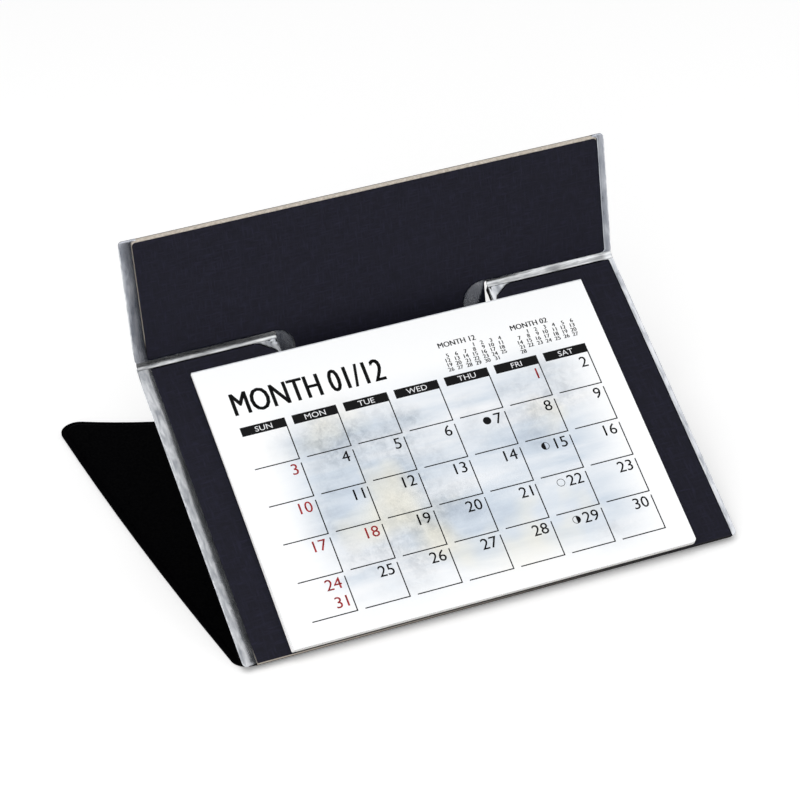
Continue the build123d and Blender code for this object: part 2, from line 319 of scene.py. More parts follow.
def leaf_paper(name, panel):
    """Uncoated offset paper, white, with a pale wash printed under the dates.

    The eye sees blue-grey drifts, a few cream glows and grey stippled patches that fade out to bare paper.
    The attribute leaf_seed shifts the wash from one leaf to the next.
    """
    fibre, depth, cloud, patch, stipple, fade_width = 0.25, 0.008, 13.0, 46.0, 3.0, 20.0
    middle = ((binding_low[0] + binding_high[0]) / 2 + 2.0, leaf_low[1] + 44.0)
    reach = (62.0, 44.0)
    wash_stops = [(0.3, "#B9C4D2"), (0.42, "#CED8E3"), (0.53, "#E0E6ED"), (0.66, "#EFF1F4")]
    shade_stops = [(0.38, "#A4A8AC"), (0.6, "#F4F3F1")]
    glow_range = {"From Min": 0.54, "From Max": 0.72, "To Max": 0.8}
    shade_range = {"From Min": 0.48, "From Max": 0.64, "To Max": 0.65}
    material, add, place = start_material(name, panel, Roughness=0.78, Specular_IOR_Level=0.2)
    seed = add("ShaderNodeAttribute", {"attribute_name": "leaf_seed"})
    axes = add("ShaderNodeSeparateXYZ", links={"Vector": place})
    edges = []
    for axis, centre, half in zip("XY", middle, reach):
        offset = add(MATH, {"operation": "SUBTRACT", 1: centre}, {0: axes.outputs[axis]})
        size = add(MATH, {"operation": "ABSOLUTE"}, {0: offset})
        fade = {"interpolation_type": "SMOOTHSTEP", "From Min": half, "From Max": half - fade_width}
        edges.append(add(RANGE, fade, {"Value": size}))
    inside = add(MATH, {"operation": "MULTIPLY"}, {0: edges[0], 1: edges[1]})
    drift = add(MAPPING, {"Scale": (0.22, 1.0, 1.0)}, {"Vector": place})
    fields = []
    for source, length, detail, roughness, distortion in (
        (drift, cloud, 6.0, 0.58, 0.4),
        (place, stipple, 6.0, 0.72, 0.4),
        (place, patch, 3.0, 0.6, 0.0),
    ):
        field = {"noise_dimensions": "4D", "Scale": 1 / length, "Detail": detail}
        field |= {"Roughness": roughness, "Distortion": distortion}
        fields.append(add(NOISE, field, {"Vector": source, "W": seed.outputs["Fac"]}))
    clouds, dots, patches = fields
    split = add("ShaderNodeSeparateColor", links={"Color": patches.outputs["Color"]})
    wash = add(RAMP, {"stops": wash_stops}, {"Fac": clouds})
    glows = add(RANGE, glow_range, {"Value": split.outputs[0]})
    cream = {"data_type": "RGBA", 7: colour("#F4EDD6")}
    glowing = add(MIX, cream, {0: glows, 6: wash})
    shade = add(RAMP, {"stops": shade_stops}, {"Fac": dots})
    shaded = add(RANGE, shade_range, {"Value": split.outputs[1]})
    darkened = {"data_type": "RGBA", "blend_type": "MULTIPLY"}
    stippled = add(MIX, darkened, {0: shaded, 6: glowing.outputs[2], 7: shade})
    bare = {"data_type": "RGBA", 6: colour("#FCFDFE")}
    printed = add(MIX, bare, {0: inside, 7: stippled.outputs[2]})
    fibres = add(NOISE, {"Scale": 1 / fibre, "Detail": 2.0}, {"Vector": place})
    return finish_material(material, printed.outputs[2], fibres, depth)


def mottled(name, panel, grain, detail, stops, depth, **sockets):
    """A material whose tint and relief follow one noise of a grain in millimetres along the panel's axes."""
    material, add, place = start_material(name, panel, **sockets)
    scaled = add(MAPPING, {"Scale": tuple(1 / size for size in grain)}, {"Vector": place})
    spots = add(NOISE, {"Scale": 1.0, "Detail": detail}, {"Vector": scaled})
    tint = add(RAMP, {"stops": stops}, {"Fac": spots})
    return finish_material(material, tint, spots, depth)


def weld_bead_vinyl(name, panel):
    """PVC squeezed out along a heat-sealed rim: a glossy, slightly lumpy line, painted pale grey, partly the
    milky weld and partly a painted highlight of the rounded rim.
    """
    lump, depth = 1.8, 0.05
    stops = [(0.3, "#9EA2A8"), (0.5, "#C9CCD1"), (0.7, "#E6E8EB")]
    gloss = {"IOR": 1.53, "Roughness": 0.22, "Coat_Weight": 0.3, "Coat_Roughness": 0.08}
    return mottled(name, panel, (lump,) * 3, 3.0, stops, depth, **gloss)


def cut_paper_edge(name, panel):
    """Guillotined edges of the stacked leaves, streaked along the cut: painted greyish white, darker than the
    leaf's face, partly the paper's own edge tone and partly painted shade.

    Leaves are 0.1 mm thick; the streaks are drawn 0.25 mm apart so that they show in the render.
    """
    streak, length, depth = 0.25, 12.0, 0.02
    stops = [(0.3, "#9C9A97"), (0.5, "#C4C2BE"), (0.7, "#E2E1DE")]
    matt = {"Roughness": 0.85, "Specular_IOR_Level": 0.15}
    return mottled(name, panel, (length, length, streak), 3.0, stops, depth, **matt)


def printing_ink(name, panel, hex_code, deep_code):
    """Offset ink on uncoated paper: flat and matt, a little uneven where the fibres take less of it."""
    mottle, depth = 0.3, 0.0
    stops = [(0.35, deep_code), (0.7, hex_code)]
    matt = {"Roughness": 0.7, "Specular_IOR_Level": 0.15}
    return mottled(name, panel, (mottle,) * 3, 2.0, stops, depth, **matt)


def pulp_card(name, panel, hex_code, deep_code, roughness):
    """Plain pressed card, tape liner or padding glue: matt, with a slight mottle."""
    mottle, depth = 1.2, 0.02
    stops = [(0.3, deep_code), (0.7, hex_code)]
    matt = {"Roughness": roughness, "Specular_IOR_Level": 0.2}
    return mottled(name, panel, (mottle,) * 3, 4.0, stops, depth, **matt)


front_linen = linen_cover_paper("linen_cover_paper_front", front_panel)
header_linen = linen_cover_paper("linen_cover_paper_header", header_panel)
# The chipboard's near-black edges are painted shade: towards the front board's right end and above its foot,
# and along the header board's lowest millimetres by the crease.
front_board = chipboard("chipboard_painted_shade_front", front_panel, (("X", -70.0, 150.0), ("Y", 1.0, 6.0)))
header_board = chipboard("chipboard_painted_shade_header", header_panel, (("Y", 8.0, 3.0),))
# The crease's copy of the film is painted whiter than the panels' copies, for the fold's painted highlight.
front_film = sleeve_film("pvc_film_front", front_panel, (1.6, 6.0, 3.0), "#EEF0F4", "#C9CED7")
header_film = sleeve_film("pvc_film_header", header_panel, (2.5, 9.0, 3.0), "#EAEDF5", "#C4CAD8")
crease_film = sleeve_film("pvc_film_crease", front_panel, (5.0, 0.7, 0.7), "#FAFBFC", "#DCE0E5")
bead_vinyl = weld_bead_vinyl("pvc_weld_bead", front_panel)
# Copies of one black vinyl: the header's is painted lighter and bluer than the front's, a painted light that
# lifts the ears in their shaded recess; the base's is darker.
base_vinyl = black_vinyl("black_vinyl_base", base_panel, "#020203", "#000001")
front_vinyl = black_vinyl("black_vinyl_front", front_panel, "#0B0C0F", "#050608")
header_vinyl = black_vinyl("black_vinyl_header", header_panel, "#191C28", "#12141D")
paper = leaf_paper("offset_paper", front_panel)
paper_edge = cut_paper_edge("cut_offset_paper", front_panel)
black_ink = printing_ink("offset_ink_black", front_panel, "#101012", "#070708")
red_ink = printing_ink("offset_ink_red", front_panel, "#CC4648", "#B83638")
bare_paper = printing_ink("bare_paper_in_bar", front_panel, "#F0F1F3", "#E2E3E6")
card = pulp_card("grey_backing_card", front_panel, "#A39F97", "#88847C", 0.85)
tape = pulp_card("foam_mounting_tape", front_panel, "#E6E4DC", "#D5D2C8", 0.7)
glue = pulp_card("padding_glue", front_panel, "#E4E6EA", "#CFD2D7", 0.5)

node_materials = {
    "front_insert_cover": front_linen,
    "header_insert_cover": header_linen,
    "front_insert_board": front_board,
    "header_insert_board": header_board,
    "base_board": front_board,
    "pad_backing_card": card,
    "pad_tape_strips": tape,
    "pad_binding": glue,
}
for node_name, node_material in node_materials.items():
    node_mesh = frame["nodes"][node_name].data
    node_mesh.materials.clear()
    node_mesh.materials.append(node_material)


def linked(name, data):
    """A new object in the scene that shows this data."""
    holder = bpy.data.objects.new(name, data)
    bpy.context.scene.collection.objects.link(holder)
    return holder


def evaluated_mesh(holder):
    """A plain mesh of an object with its modifiers, or of a line of text."""
    bpy.context.view_layer.update()
    return bpy.data.meshes.new_from_object(holder.evaluated_get(bpy.context.evaluated_depsgraph_get()))


def shade_smooth(mesh, smooth=True):
    mesh.polygons.foreach_set("use_smooth", np.full(len(mesh.polygons), smooth))


def new_piece(name, points, faces, panel, materials, face_materials=None, smooth=True):
    """A mesh object from points in a panel's millimetres, with its place in its mesh."""
    mesh = bpy.data.meshes.new(name)
    mesh.from_pydata([tuple(point) for point in points], [], [tuple(face) for face in faces])
    mesh.transform(panel)
    for material in materials:
        mesh.materials.append(material)
    if face_materials is not None:
        mesh.polygons.foreach_set("material_index", np.asarray(face_materials, dtype=np.int32))
    shade_smooth(mesh, smooth)
    mesh.update()
    return linked(name, mesh)


def grid_faces(rows, columns):
    """Faces between points that are listed row by row."""
    starts = [row * columns + step for row in range(rows - 1) for step in range(columns - 1)]
    return [(a, a + 1, a + columns + 1, a + columns) for a in starts]


def strip_faces(rows, count):
    """Faces of a closed strip, and 0 or 1 for its outer face or the rest of it.

    Each row has count points across the outer face and then count across the inner one.
    """
    ring = 2 * count
    order = [*range(count), *reversed(range(count, ring))]
    faces, layers = [], []
    for row in range(rows - 1):
        for here, there in zip(order, order[1:] + order[:1]):
            a, b = row * ring + here, row * ring + there
            faces.append((a, a + ring, b + ring, b))
            layers.append(0 if max(here, there) < count else 1)
    faces.append(tuple(order))
    faces.append(tuple((rows - 1) * ring + index for index in reversed(order)))
    return faces, layers + [1, 1]


def add_attribute(piece, name, values):
    layer = piece.data.attributes.new(name, "FLOAT", "POINT")
    layer.data.foreach_set("value", np.asarray(values, dtype=np.float32))


def turn_faces(piece, direction=None):
    """Point a closed mesh's faces outwards, or those of a flat print or open sheet along a direction."""
    work = bmesh.new()
    work.from_mesh(piece.data)
    if direction is None:
        bmesh.ops.recalc_face_normals(work, faces=work.faces)
    else:
        work.normal_update()
        backward = [face for face in work.faces if face.normal.dot(direction) < 0]
        bmesh.ops.reverse_faces(work, faces=backward)
    work.to_mesh(piece.data)
    work.free()


def out_of(panel):
    return (panel.to_3x3() @ Vector((0, 0, 1))).normalized()


def smoothstep(low, high, value):
    share = np.clip((np.asarray(value, dtype=float) - low) / (high - low), 0, 1)
    return share * share * (3 - 2 * share)


def geometry_tree(name, inputs):
    """A Geometry Nodes tree, the function that adds to it, and its named inputs with their identifiers."""
    tree = bpy.data.node_groups.new(name, "GeometryNodeTree")
    identifiers = {}
    tree.interface.new_socket("Geometry", in_out="INPUT", socket_type="NodeSocketGeometry")
    tree.interface.new_socket("Geometry", in_out="OUTPUT", socket_type="NodeSocketGeometry")
    for label, kind in inputs.items():
        socket = tree.interface.new_socket(label, in_out="INPUT", socket_type=kind)
        identifiers[label] = socket.identifier
    add = partial(add_node, tree)
    return tree, add, add("NodeGroupInput").outputs, identifiers


def finish_geometry(add, source, material):
    """End a tree: make its instances real and give them their material."""
    real = add("GeometryNodeRealizeInstances", links={"Geometry": source})
    finished = add("GeometryNodeSetMaterial", links={"Geometry": real, "Material": material})
    add("NodeGroupOutput", links={0: finished})


def grow(mesh, tree, identifiers, values):
    """Run a Geometry Nodes tree on a mesh and keep the result as a plain mesh."""
    carrier = linked("carrier", mesh)
    modifier = carrier.modifiers.new("grow", "NODES")
    modifier.node_group = tree
    for label, value in values.items():
        modifier[identifiers[label]] = value
    result = evaluated_mesh(carrier)
    bpy.data.objects.remove(carrier)
    return result


def rounded_path(corners, run_steps, arc_steps):
    """Points along an open path of (x, up, radius) corners. A corner of radius 0 stays sharp."""
    sharp_reach = 0.2
    steps = np.linspace(0, 1, arc_steps + 1)
    places = [Vector(corner[:2]) for corner in corners]
    stretches = [[places[0]]]
    for index in range(1, len(corners) - 1):
        corner = places[index]
        back = (places[index - 1] - corner).normalized()
        ahead = (places[index + 1] - corner).normalized()
        half_angle = back.angle(ahead) / 2
        radius = corners[index][2]
        if radius == 0:
            first, last = corner + back * sharp_reach, corner + ahead * sharp_reach
            stretch = [first.lerp(corner, 2 * s) if s < 0.5 else corner.lerp(last, 2 * s - 1) for s in steps]
        else:
            cut = radius / math.tan(half_angle)
            centre = corner + (back + ahead).normalized() * (radius / math.sin(half_angle))
            first, last = corner + back * cut - centre, corner + ahead * cut - centre
            turn = math.copysign(math.pi - 2 * half_angle, first.cross(last))
            stretch = [centre + Matrix.Rotation(turn * s, 2) @ first for s in steps]
        stretches.append(stretch)
    stretches.append([places[-1]])
    points = list(stretches[0])
    for count, here, there in zip(run_steps, stretches, stretches[1:]):
        points += [here[-1].lerp(there[0], step / count) for step in range(1, count)]
        points += there
    return np.array([tuple(point) for point in points])


def both_sides(corners_of_side, left_places, right_places):
    """Corners along the left side and back along the right one, from a function that lists one side's."""
    return [*corners_of_side(*left_places, -1), *reversed(corners_of_side(*right_places, 1))]


def sleeve_sheet(name, inner, outer, level, drops, crumple, panel, material, haze=None):
    """One sheet of a sleeve: flat over the board, sloping from its edge, welded along the rim.

    inner and outer are matching points along the board's edge and the sheet's edge. A face film slopes down
    to the weld and ends in the rim's thickness; a backing sheet, with negative drops, slopes up to it.
    Returns the piece and the points of its rim.
    """
    count = len(inner)
    width = np.linalg.norm(outer - inner, axis=1)
    drape = np.minimum(drape_reach, 0.6 * width)
    shares = np.concatenate([np.linspace(0, 0.3, 9), np.linspace(0.3, 1, 21)[1:]])
    points, haze_and_sheen_values = [], []
    for share in shares:
        flat = inner * (1 - share) + outer * share
        height = level - drops * smoothstep(0, 1, width * share / drape)
        loose = smoothstep(0, 0.8, width * share) * (1 - smoothstep(0.9, 1.0, share))
        lift = np.array([crumple(x, up) for x, up in flat]) * loose
        roll = rim_roll * smoothstep(0.85, 1.0, share) * np.sign(drops)
        height = height + lift - roll
        points += [(x, up, out) for (x, up), out in zip(flat, height)]
        if haze is not None:
            haze_and_sheen_values += list(haze(share, flat))
    rim = points[-count:]
    if haze is not None:
        points += [(x, up, out - film_thickness) for x, up, out in rim]
        haze_and_sheen_values += haze_and_sheen_values[-count:]
    faces = [(a, d, c, b) for a, b, c, d in grid_faces(len(points) // count, count)]
    faces.append(tuple(range(count)))
    piece = new_piece(name, points, faces, panel, [material])
    largest = max(piece.data.polygons, key=lambda polygon: polygon.area)
    if largest.normal.dot(out_of(panel)) * np.sign(drops[0]) < 0:
        piece.data.flip_normals()
    if haze is not None:
        add_attribute(piece, "haze", haze_and_sheen_values)
    return piece, np.array(rim)


def thicken(piece, thickness):
    """Give an open sheet its thickness, behind its outer face."""
    modifier = piece.modifiers.new("thickness", "SOLIDIFY")
    modifier.thickness = thickness * MM
    modifier.offset = -1.0
    solid = evaluated_mesh(piece)
    piece.modifiers.clear()
    piece.data = solid


def ripples(x, up, length, height, layer):
    """Smooth waves of a length along x and a height up the panel, in one layer of the noise."""
    return noise.noise(Vector((x / length, up / height, layer)))


def front_crumple(x, up):
    """Ripples of the front film: tight creases at the notch ends, slack waves along the edges."""
    crumple_middle, crumple_width, slack_depth = 3.3, 2.6, 0.1
    tight_depth = 0.5 if x < 0 else 0.15
    past_opening = abs(x - tongue_shift) - opening_half
    notch_end = math.exp(-((past_opening - crumple_middle) / crumple_width) ** 2)
    notch_end = notch_end * smoothstep(97.0, 103.0, up)
    tight = ripples(x, up, 0.75, 5.0, 3.1) * tight_depth
    return float(notch_end * tight + ripples(x, up, 6.0, 5.0, 8.4) * slack_depth)


def header_crumple(x, up):
    """Ripples of the header's film: slack waves down the sides."""
    slack_depth = 0.1
    return ripples(x, up, 5.0, 7.0, 5.7) * slack_depth


def backing_crumple(x, up):
    """Backing sheets lie nearly flat."""
    wave_depth = 0.04
    return ripples(x, up, 9.0, 9.0, 1.3) * wave_depth


# Front panel's sleeve. Both paths run from the lower left corner round to the lower right one.
foot = front_low[1]
left, right = insert_low[0], insert_high[0]
board_top = insert_high[1]
film_top = front_high[1]
rim_left, rim_right = front_low[0] + weld_bead_radius, front_high[0] - weld_bead_radius
notch_left, notch_right = tongue_shift - notch_half, tongue_shift + notch_half
opening_left, opening_right = tongue_shift - opening_half, tongue_shift + opening_half
front_runs = (2, 60, 60, 12, 40, 30, 40, 12, 60, 60, 2)
front_arc_steps = 12


def front_board_side(edge, notch, side):
    return [
        (edge, foot, 0),
        (edge, foot + corner_radius, 0),
        (edge, board_top, front_insert_radius),
        (notch + side * shoulder_flare, board_top, shoulder_radius),
        (notch, board_top - shoulder_drop, shoulder_radius),
        (notch, notch_foot, 0),
    ]


def front_film_side(rim, opening, side):
    return [
        (rim - side * corner_radius, foot, 0),
        (rim, foot, corner_radius),
        (rim, film_top, 0),
        (opening + side * opening_chamfer, film_top, 0),
        (opening, film_top - opening_chamfer, 0),
        (opening, opening_foot, opening_radius),
    ]


front_board_corners = both_sides(front_board_side, (left, notch_left), (right, notch_right))
front_film_corners = both_sides(front_film_side, (rim_left, opening_left), (rim_right, opening_right))
inner_front = rounded_path(front_board_corners, front_runs, front_arc_steps)
outer_front = rounded_path(front_film_corners, front_runs, front_arc_steps)
front_x, front_up = outer_front.T
at_crease = smoothstep(film_top - 5.5, film_top - 1.5, front_up)
from_opening = abs(front_x - tongue_shift) - opening_half
from_side = np.minimum(front_x - rim_left, rim_right - front_x)
on_crease = (front_up > film_top - 0.01) * smoothstep(0.3, 3.0, from_side)
on_crease = on_crease * smoothstep(1.0, 3.0, from_opening)
at_opening = (1 - smoothstep(1.0, 6.0, from_opening)) * (1 - on_crease)
past_pad = 60
at_left = (front_x < -past_pad) * (1 - on_crease)
at_right = (front_x > past_pad) * (1 - on_crease)


def front_haze(share, flat):
    """How pale the front film is painted from the board's edge (share 0) to the weld's rim (share 1): partly
    milky weld, partly painted reflection of the lamps on the glossy film, with painted glints in the crumples
    by the opening and a white streak along the opening's rim on the right.
    """
    x, up = flat[:, 0], flat[:, 1]
    spread = share ** (1 - 0.35 * smoothstep(50.0, 95.0, up))
    left_weld = np.interp(
        spread,
        (0, 0.03, 0.1, 0.3, 0.36, 0.43, 0.5, 0.58, 0.75, 0.95, 1),
        (0, 0.02, 0.06, 0.09, 0.17, 0.32, 0.45, 0.54, 0.58, 0.64, 0.68),
    )
    right_weld = np.interp(share, (0, 0.05, 0.15, 0.4, 0.7, 1), (0, 0.7, 1.0, 0.93, 0.96, 1.0))
    crease_weld = np.interp(share, (0, 0.3, 0.6, 1), (0, 0.04, 0.1, 0.3))
    speckle = np.array([ripples(px, py, 0.55, 0.7, 4.4) for px, py in flat])
    streak = np.array([ripples(px, py, 0.5, 4.0, 9.1) for px, py in flat])
    left_opening = np.interp(share, (0, 0.05, 0.13, 0.6, 0.8, 1), (0, 0.06, 0.55, 0.55, 0.4, 0.2))
    left_opening = left_opening * (1 + 1.9 * speckle * smoothstep(0.25, 0.7, share))
    right_opening = np.interp(share, (0, 0.05, 0.13, 0.66, 0.77, 1), (0, 0.06, 0.85, 0.85, 0.2, 0.08))
    right_opening = right_opening * (1 + 1.7 * streak * smoothstep(0.5, 0.75, share))
    sliver = 0.85 * smoothstep(0.88, 0.94, share) * (1 - smoothstep(film_top - 7.0, film_top - 3.0, up))
    opening_weld = np.where(x < 0, left_opening, np.maximum(right_opening, sliver))
    total = at_left * left_weld + at_right * right_weld
    total = total + on_crease * crease_weld + at_opening * opening_weld
    return np.clip(total + 0.25 * share * at_right * (1 - smoothstep(1.0, 3.5, up)), 0, 1)


front_drops = weld_drop + (crease_weld_drop - weld_drop) * at_crease
front_level = face_level - film_sink
front_sheet = (inner_front, outer_front, front_level, front_drops, front_crumple)
front_sleeve, front_rim = sleeve_sheet(
    "front_sleeve_film", *front_sheet, front_panel, front_film, front_haze
)
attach(front_sleeve, "front_panel")
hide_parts("front_sleeve_face")

front_rises = -(front_level - front_drops - weld_stack - front_back)
front_sheet = (inner_front, outer_front, front_back + backing_lift, front_rises, backing_crumple)
front_backing = sleeve_sheet("front_sleeve_backing", *front_sheet, front_panel, front_vinyl)[0]
thicken(front_backing, backing_thickness)
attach(front_backing, "front_panel")
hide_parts("front_sleeve_back")


def opening_edge(name, side):
    """Cut edge of the sleeve's black sheet beside the tongue, turned to the back and slightly rippled."""
    depth, length, setback, top_gap, thickness, ripple_depth = 2.2, 24.0, 0.1, 0.3, 0.12, 0.07
    start = face_level - weld_drop
    ups = np.linspace(film_top - top_gap, film_top - length, 80)
    levels = np.linspace(0, 1, 6)
    points = []
    for up in ups:
        for level in levels:
            ripple = ripples(up, level * 2.0, 0.9, 1.0, 7.7 * side) * ripple_depth * level
            x = tongue_shift + side * (opening_half + setback + ripple)
            points.append((x, up, start - depth * level))
    edge = new_piece(name, points, grid_faces(len(ups), len(levels)), front_panel, [front_vinyl])
    turn_faces(edge, Vector((-side, 0, 0)))
    thicken(edge, thickness)
    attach(edge, "front_panel")


opening_edge("opening_edge_left", -1)
opening_edge("opening_edge_right", 1)

# Header's sleeve, from its upper left corner down round the tongue to the upper right one
head_top = header_high[1]
head_left, head_right = board_low[0], board_high[0]
tongue_insert_foot = board_low[1]
tongue_foot = header_low[1]
header_runs = (2, 40, 50, 40, 30, 40, 50, 40, 2)
header_arc_steps = 16


def header_board_side(head, insert, side):
    return [
        (head - side * (header_insert_radius + header_insert_start), board_high[1], 0),
        (head, board_high[1], header_insert_radius),
        (head, header_insert_foot, header_insert_radius),
        (insert, header_insert_foot, tongue_insert_radius),
        (insert, tongue_insert_foot, header_insert_radius),
    ]


def header_film_side(head, rim, side):
    return [
        (head - side * header_insert_radius, head_top, 0),
        (rim, head_top, header_corner_radius),
        (rim, sleeve_foot_gap, header_corner_radius),
        (tongue_shift + side * tongue_half, sleeve_foot_gap, tongue_root_radius),
        (tongue_shift + side * tongue_half, tongue_foot, opening_radius),
    ]


header_board_corners = both_sides(
    header_board_side, (head_left, tongue_insert_left), (head_right, tongue_insert_right)
)
header_film_corners = both_sides(header_film_side, (head_left, rim_left), (head_right, rim_right))
inner_header = rounded_path(header_board_corners, header_runs, header_arc_steps)
outer_header = rounded_path(header_film_corners, header_runs, header_arc_steps)
header_x, header_up = outer_header.T
from_tongue = abs(header_x - tongue_shift) - tongue_half
by_crease = (1 - smoothstep(1.5, 5.0, header_up)) * smoothstep(-0.3, 2.7, from_tongue)
by_tongue = 1 - smoothstep(0.7, 5.7, from_tongue)
from_edge = np.minimum(header_x - rim_left, rim_right - header_x)
by_foot = (header_up < sleeve_foot_gap + 0.01) * smoothstep(1.2, 4.0, from_edge) * (1 - by_tongue)
by_left = (header_x < 0) * (1 - by_foot) * (1 - by_tongue)
by_right = (header_x > 0) * (1 - by_foot) * (1 - by_tongue)


def header_haze(share, flat):
    """How pale the header's film is painted from the board's edge (share 0) to the weld's rim (share 1):
    partly milky weld, partly painted reflection of the lamps. The left flange is painted darker towards the
    crease, the strip along the crease is painted whiter towards the right end as a painted highlight, the
    right ear is painted lighter than the left, and a painted shadow of the front panel's shoulder darkens the
    right ear's outer part.
    """
    x, up = flat[:, 0], flat[:, 1]
    left_weld = (0.78 + 0.22 * smoothstep(5.0, 35.0, up)) * np.interp(
        share,
        (0, 0.08, 0.12, 0.2, 0.3, 0.4, 0.55, 0.7, 0.85, 0.95, 1),
        (0, 0.01, 0.05, 0.07, 0.12, 0.18, 0.23, 0.32, 0.42, 0.52, 0.6),
    )
    right_weld = np.interp(share, (0, 0.06, 0.16, 0.3, 0.9, 1), (0, 0.72, 0.62, 0.46, 0.54, 0.66))
    # Painted highlight: the film along the crease is painted whiter towards the right end.
    whiter = 1 + 4.5 * smoothstep(3.0, 22.0, x - opening_right)
    crease_weld = np.interp(share, (0, 0.2, 1), (0, 0.06, 0.09)) * whiter
    # Painted light on the ears: the right ear is painted lighter than the left, and its outer part is painted
    # dark as the shadow of the front panel's right shoulder.
    past_shadow = x - tongue_shift - tongue_half + 0.5 - 0.35 * up
    tongue_weld = np.interp(share, (0, 0.1, 1), (0, 0.15, 0.18)) * np.where(x < 0, 0.85, 1.35)
    tongue_weld = tongue_weld * (1 - smoothstep(-0.5, 0.5, past_shadow))
    total = by_left * left_weld + by_right * right_weld
    total = total + by_foot * crease_weld + by_tongue * tongue_weld
    at_top = smoothstep(head_top - 0.7, head_top - 0.2, up) * smoothstep(0.0, 0.3, share)
    return np.clip(np.maximum(total, 0.75 * at_top), 0, 1)


header_drops = weld_drop + (crease_weld_drop - weld_drop) * by_crease
header_level = header_high[2] - film_sink
header_sheet = (inner_header, outer_header, header_level, header_drops, header_crumple)
header_sleeve, header_rim = sleeve_sheet(
    "header_sleeve_film", *header_sheet, header_panel, header_film, header_haze
)
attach(header_sleeve, "header")
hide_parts("header_sleeve_face")

header_rises = -(header_level - header_drops - weld_stack - header_back)
header_sheet = (inner_header, outer_header, header_back + backing_lift, header_rises, backing_crumple)
header_backing = sleeve_sheet("header_sleeve_backing", *header_sheet, header_panel, header_vinyl)[0]
thicken(header_backing, backing_thickness)
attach(header_backing, "header")
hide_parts("header_sleeve_back")


def weld_bead_tree():
    """A round bead that follows a welded rim."""
    inputs = {"Bead Radius": "NodeSocketFloat", "Bead Sides": "NodeSocketInt", "Vinyl": "NodeSocketMaterial"}
    tree, add, given, identifiers = geometry_tree("weld_bead", inputs)
    path = add("GeometryNodeMeshToCurve", links={"Mesh": given["Geometry"]})
    circle = {"Resolution": given["Bead Sides"], "Radius": given["Bead Radius"]}
    section = add("GeometryNodeCurvePrimitiveCircle", links=circle)
    bead = add("GeometryNodeCurveToMesh", {"Fill Caps": True}, {"Curve": path, "Profile Curve": section})
    finish_geometry(add, bead, given["Vinyl"])
    return tree, identifiers


bead_tree, bead_inputs = weld_bead_tree()


def weld_bead(name, rim, keep, panel, body):
    """Bead of squeezed-out vinyl along the kept stretches of a rim."""
    mesh = bpy.data.meshes.new("rim")
    edges = [(step, step + 1) for step in range(len(rim) - 1) if keep[step] and keep[step + 1]]
    mesh.from_pydata([(x, up, out - film_thickness / 2) for x, up, out in rim], edges, [])
    sizes = {"Bead Radius": weld_bead_radius, "Bead Sides": weld_bead_sides, "Vinyl": bead_vinyl}
    bead = grow(mesh, bead_tree, bead_inputs, sizes)
    bead.transform(panel)
    shade_smooth(bead)
    piece = linked(name, bead)
    turn_faces(piece)
    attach(piece, body)


off_crease = 0.02
beside_opening = from_opening > 2.0
weld_bead("front_weld_bead", front_rim, (at_crease < off_crease) & beside_opening, front_panel, "front_panel")
below_top = header_rim[:, 1] < head_top - 1.5
weld_bead("header_weld_bead", header_rim, (by_crease < off_crease) & below_top, header_panel, "header")


def crease_strip(name, x_start, x_end, notch_profile, end_profile, tip_haze_and_highlight, node):
    """Folded film over black vinyl across the crease, rippled along the fold, from the front panel's face to
    the header's.
    """
    front_reach, header_reach, sink, bend_sink = 1.5, 1.0, 0.25, 0.15
    step, slope_depth, ripple_depth = 0.45, 0.12, 0.07
    arc = np.linspace(0, 1, 15)
    start = Vector((0, up_crease - front_reach, face_level - sink))
    end = front_panel.inverted() @ (header_panel @ Vector((0, header_reach, -sink)))
    bend = Vector((0, up_crease, face_level - sink - bend_sink))
    fold = [start.lerp(bend, s).lerp(bend.lerp(end, s), s) for s in arc]
    tangents = [(bend.lerp(end, s) - start.lerp(bend, s)).normalized() for s in arc]
    stations = np.arange(x_start, x_end + step / 2, step)
    stations[-1] = x_end
    points, haze_and_sheen_values = [], []
    for x in stations:
        slope = ripples(x, 1.7, 4.0, 1.0, 0.3) * slope_depth
        uneven = 1 + 0.5 * ripples(x, 2.9, 7.0, 1.0, 0.6)
        outward = smoothstep(3.0, 22.0, abs(x - tongue_shift) - opening_half)
        tip = 1 - smoothstep(1.5, 6.0, min(x - rim_left, rim_right - x))
        for side in (1, -1):
            for place, tangent, share in zip(fold, tangents, arc):
                normal = Vector((0, -tangent.z, tangent.y))
                ripple = ripples(x, share * 3.0, 1.6, 1.0, 6.2) * ripple_depth
                body = math.sin(math.pi * share)
                offset = (slope + ripple) * body + side * film_thickness / 2 * (0.25 + 0.75 * body)
                points.append((x, place.y + normal.y * offset, place.z + normal.z * offset))
                # Painted highlight: the fold is painted pale where the lamps would glint on the bent film.
                painted_highlight = np.interp(share, *notch_profile) * (1 - outward)
                painted_highlight = painted_highlight + np.interp(share, *end_profile) * outward
                haze_and_sheen_values.append(np.clip(max(uneven * painted_highlight, tip_haze_and_highlight * tip), 0, 1))
    faces, layers = strip_faces(len(stations), len(arc))
    strip = new_piece(name, points, faces, front_panel, [crease_film, front_vinyl], layers)
    turn_faces(strip)
    add_attribute(strip, "haze", haze_and_sheen_values)
    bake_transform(strip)
    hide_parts(node)


